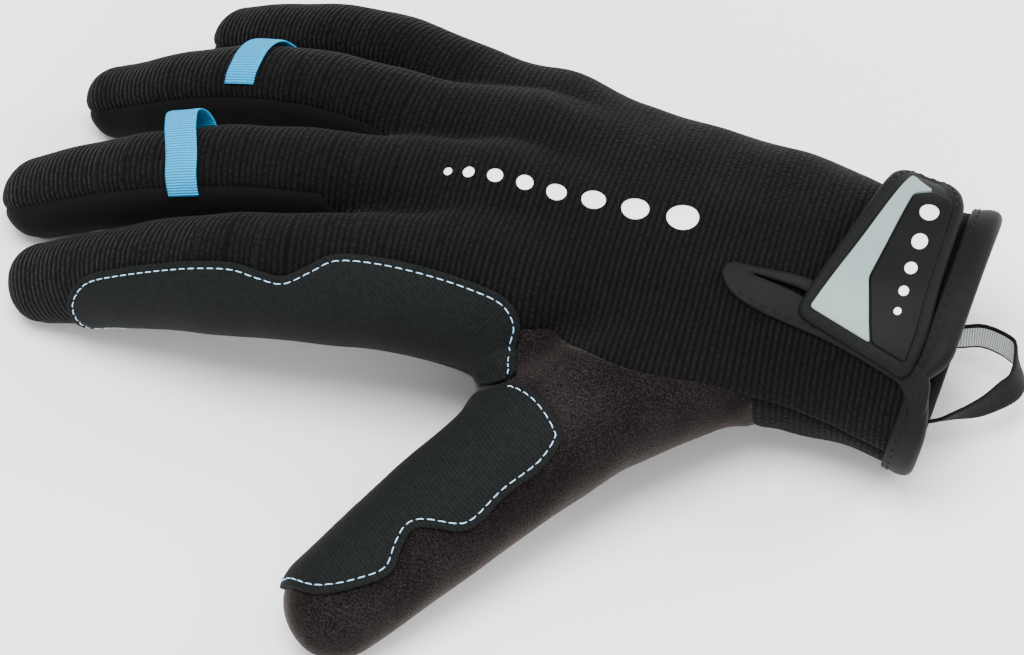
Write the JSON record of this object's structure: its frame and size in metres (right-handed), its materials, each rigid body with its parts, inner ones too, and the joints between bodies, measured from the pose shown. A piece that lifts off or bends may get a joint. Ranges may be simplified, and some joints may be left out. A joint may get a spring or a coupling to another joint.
{
  "type": "cycling glove",
  "caption": "Long-fingered cycling glove for the right hand with a ribbed back, suede palm, grip patches and a closure strap.",
  "frame": {"origin": "on the surface it lies on, under the middle of the glove's bounding box", "axes": "fingers point along -X, the cuff opens along +X, the thumb lies on the -Y side, the back of the hand faces +Z"},
  "size_m": [0.2408, 0.1814, 0.053],
  "materials": {
    "ribbed_knit": "matt ribbed knit",
    "smooth_knit": "matt smooth stretch knit",
    "suede": "napped",
    "grip_cloth": "matt coated weave",
    "binding": "smooth satin",
    "inlay": "satin",
    "plate": "satin",
    "blue_tape": "ribbed tape",
    "webbing": "woven webbing"
  },
  "bodies": {
    "root": {"back_panel": "ribbed_knit", "palm_panel": "suede", "thumb_panel": "suede", "wrist_panel": "ribbed_knit", "fourchette_index_middle": "smooth_knit", "fourchette_middle_ring": "smooth_knit", "fourchette_ring_little": "smooth_knit", "index_patch": "grip_cloth", "thumb_patch": "grip_cloth", "cuff_binding": "binding", "slit_binding": "binding", "closure_strap": "binding", "strap_inlay": "inlay", "strap_plate": "plate", "middle_finger_tape": "blue_tape", "ring_finger_tape": "blue_tape", "hang_loop": "webbing"}
  },
  "joints": []
}
